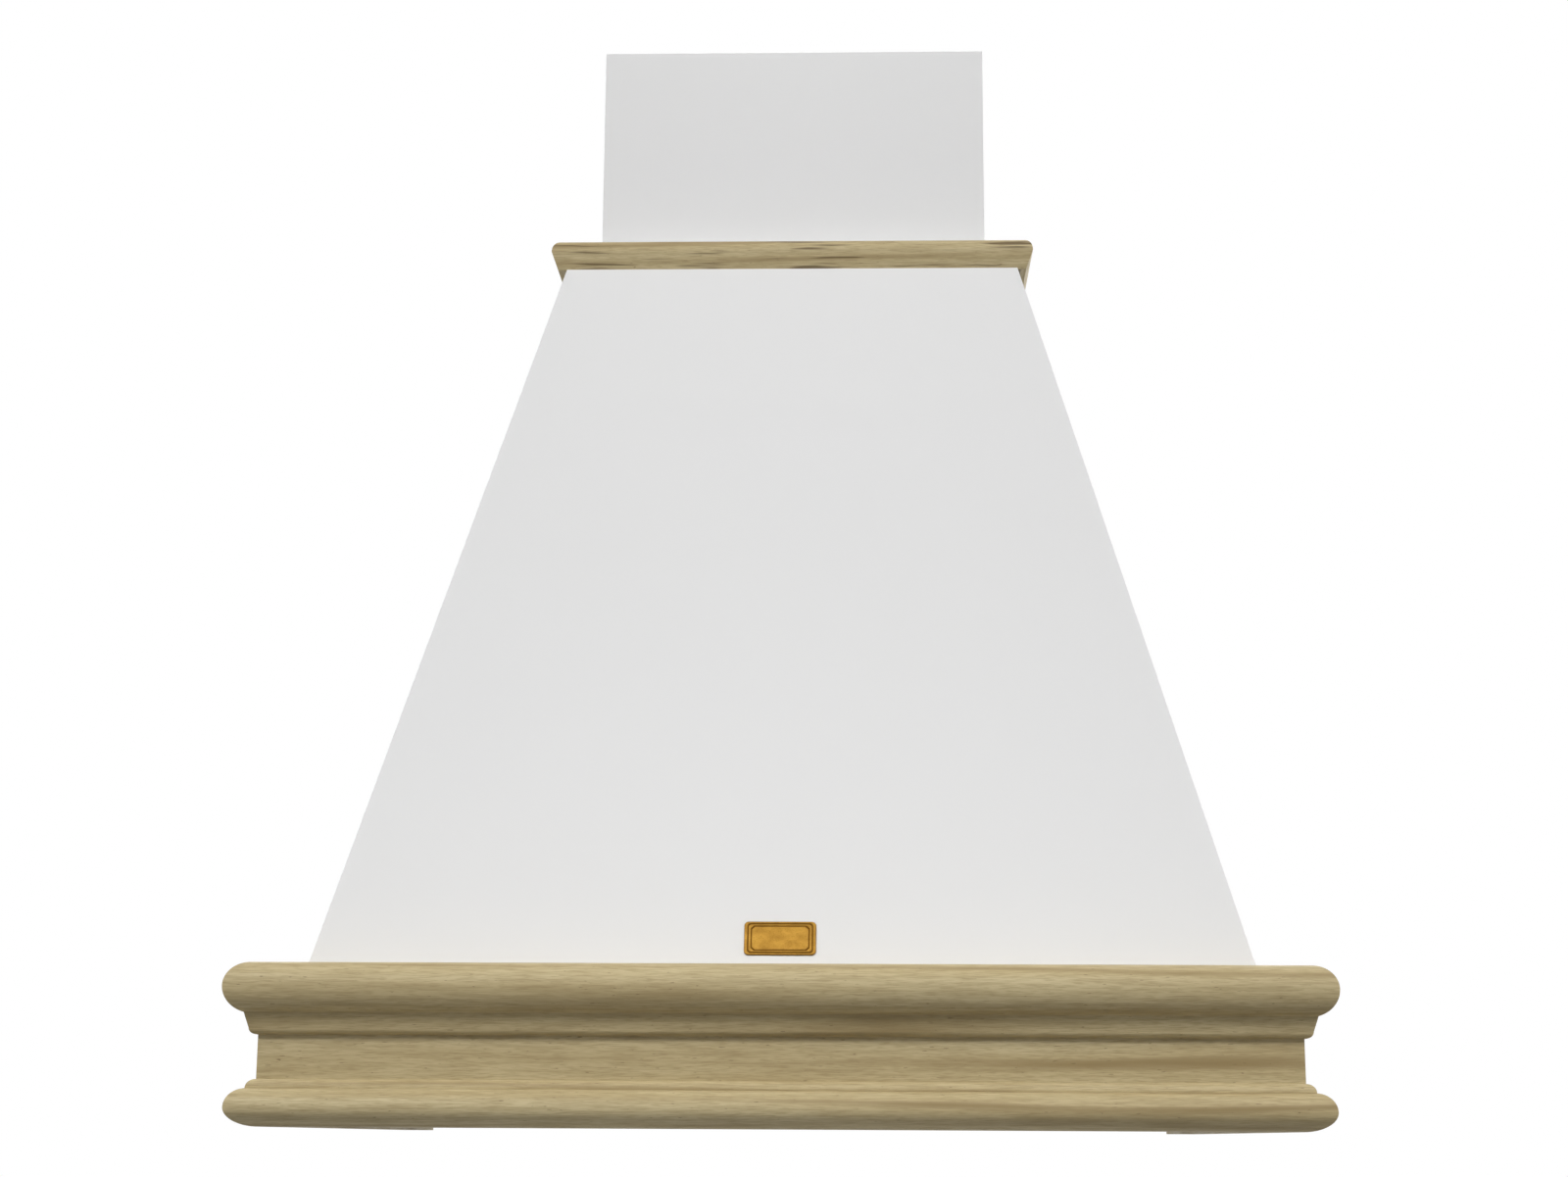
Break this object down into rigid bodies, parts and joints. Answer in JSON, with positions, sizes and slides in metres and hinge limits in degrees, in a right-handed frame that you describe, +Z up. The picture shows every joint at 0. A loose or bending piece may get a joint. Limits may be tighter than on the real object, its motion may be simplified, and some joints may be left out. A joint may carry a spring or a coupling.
{
  "type": "range hood",
  "caption": "Wall-mounted pyramid range hood with a white canopy in a beech base moulding and top strip, a sliding chimney cover, hinged grease filters and a suspended blower.",
  "frame": {"origin": "middle of the four wall screws, on the face of the wall", "axes": "+X to the right as the cook sees it, +Y into the wall, +Z up"},
  "size_m": [0.6, 0.48, 0.7155],
  "materials": {
    "beech": "satin lacquer on open grain",
    "white_enamel": "satin",
    "galvanised": "dull galvanised",
    "white_pan": "satin",
    "polished_brass": "satin",
    "filter_aluminium": "satin",
    "filter_mesh": "layered mesh",
    "latch_black": "matte",
    "lamp_ring": "satin",
    "lamp_glass": "frosted",
    "lamp_can": "satin",
    "switch_white": "matte",
    "button_white": "gloss",
    "black_plastic": "matte",
    "housing_plastic": "matte",
    "rotor_plastic": "matte",
    "motor_metal": "cast",
    "bright_steel": "zinc plated",
    "box_plastic": "matte",
    "capacitor_plastic": "satin",
    "loom_grey": "matte",
    "spacer_wood": "sawn"
  },
  "bodies": {
    "hood": {"moulding_front": "beech", "moulding_left": "beech", "moulding_right": "beech", "strip_front": "beech", "strip_left": "beech", "strip_right": "beech", "strip_spacers": "spacer_wood", "canopy": "white_enamel", "back_panel": "galvanised", "upper_wall_rail": "galvanised", "lower_wall_rail": "galvanised", "base_pan": "white_pan", "nameplate": "polished_brass", "filter_hinge_ears": "galvanised", "lamp_bezel_left": "lamp_ring", "lamp_bezel_right": "lamp_ring", "lamp_lens_left": "lamp_glass", "lamp_lens_right": "lamp_glass", "lamp_body_left": "lamp_can", "lamp_body_right": "lamp_can", "switch_plate": "switch_white", "switch_block": "black_plastic", "blower_plate": "galvanised", "scroll_left": "housing_plastic", "scroll_right": "housing_plastic", "motor": "motor_metal", "motor_bracket": "galvanised", "duct_collar": "black_plastic", "flap_pin": "bright_steel", "terminal_box": "box_plastic", "terminal_cover": "box_plastic", "cable_gland": "black_plastic", "capacitor": "capacitor_plastic", "capacitor_clip": "galvanised", "wiring_loom": "loom_grey", "moulding_screws": "bright_steel", "strip_screws": "bright_steel", "pan_screws": "bright_steel", "blower_screws": "bright_steel", "scroll_screws": "bright_steel"},
    "chimney": {"chimney_cover": "white_enamel", "chimney_bracket": "galvanised", "chimney_screws": "bright_steel"},
    "filter_left": {"filter_frame_left": "filter_aluminium", "filter_mesh_left": "filter_mesh"},
    "filter_right": {"filter_frame_right": "filter_aluminium", "filter_mesh_right": "filter_mesh"},
    "latch_left": {"filter_latch_left": "latch_black"},
    "latch_right": {"filter_latch_right": "latch_black"},
    "rotor": {"rotor": "rotor_plastic", "motor_shaft": "bright_steel"},
    "flap_front": {"flap_front": "black_plastic"},
    "flap_rear": {"flap_rear": "black_plastic"},
    "button_off": {"button_off": "button_white"},
    "button_speed_1": {"button_speed_1": "button_white"},
    "button_speed_2": {"button_speed_2": "button_white"},
    "button_speed_3": {"button_speed_3": "button_white"},
    "button_light": {"button_light": "button_white"}
  },
  "joints": [
    {"name": "chimney_slide", "type": "slide", "parent": "hood", "child": "chimney", "axis": [0, 0, 1], "range_m": [0, 0.12]},
    {"name": "filter_left_hinge", "type": "hinge", "parent": "hood", "child": "filter_left", "pos_m": [-0.124, -0.054, -0.201], "axis": [1, 0, 0], "range_deg": [0, 85]},
    {"name": "latch_left_slide", "type": "slide", "parent": "filter_left", "child": "latch_left", "axis": [0, 1, 0], "range_m": [0, 0.006], "stiffness_N_per_m": 400, "springref_m": -0.004},
    {"name": "filter_right_hinge", "type": "hinge", "parent": "hood", "child": "filter_right", "pos_m": [0.124, -0.054, -0.201], "axis": [1, 0, 0], "range_deg": [0, 85]},
    {"name": "latch_right_slide", "type": "slide", "parent": "filter_right", "child": "latch_right", "axis": [0, 1, 0], "range_m": [0, 0.006], "stiffness_N_per_m": 400, "springref_m": -0.004},
    {"name": "rotor_spin", "type": "hinge", "parent": "hood", "child": "rotor", "pos_m": [0, -0.201, 0.03], "axis": [1, 0, 0], "continuous": true},
    {"name": "flap_front_hinge", "type": "hinge", "parent": "hood", "child": "flap_front", "pos_m": [0, -0.13, 0.1762], "axis": [-1, 0, 0], "range_deg": [0, 75]},
    {"name": "flap_rear_hinge", "type": "hinge", "parent": "hood", "child": "flap_rear", "pos_m": [0, -0.13, 0.1762], "axis": [1, 0, 0], "range_deg": [0, 75]},
    {"name": "button_off_press", "type": "slide", "parent": "hood", "child": "button_off", "axis": [0, 0, 1], "range_m": [0, 0.003], "stiffness_N_per_m": 300, "springref_m": -0.002},
    {"name": "button_speed_1_press", "type": "slide", "parent": "hood", "child": "button_speed_1", "axis": [0, 0, 1], "range_m": [0, 0.003], "stiffness_N_per_m": 300, "springref_m": -0.002},
    {"name": "button_speed_2_press", "type": "slide", "parent": "hood", "child": "button_speed_2", "axis": [0, 0, 1], "range_m": [0, 0.003], "stiffness_N_per_m": 300, "springref_m": -0.002},
    {"name": "button_speed_3_press", "type": "slide", "parent": "hood", "child": "button_speed_3", "axis": [0, 0, 1], "range_m": [0, 0.003], "stiffness_N_per_m": 300, "springref_m": -0.002},
    {"name": "button_light_press", "type": "slide", "parent": "hood", "child": "button_light", "axis": [0, 0, 1], "range_m": [0, 0.003], "stiffness_N_per_m": 300, "springref_m": -0.002}
  ]
}
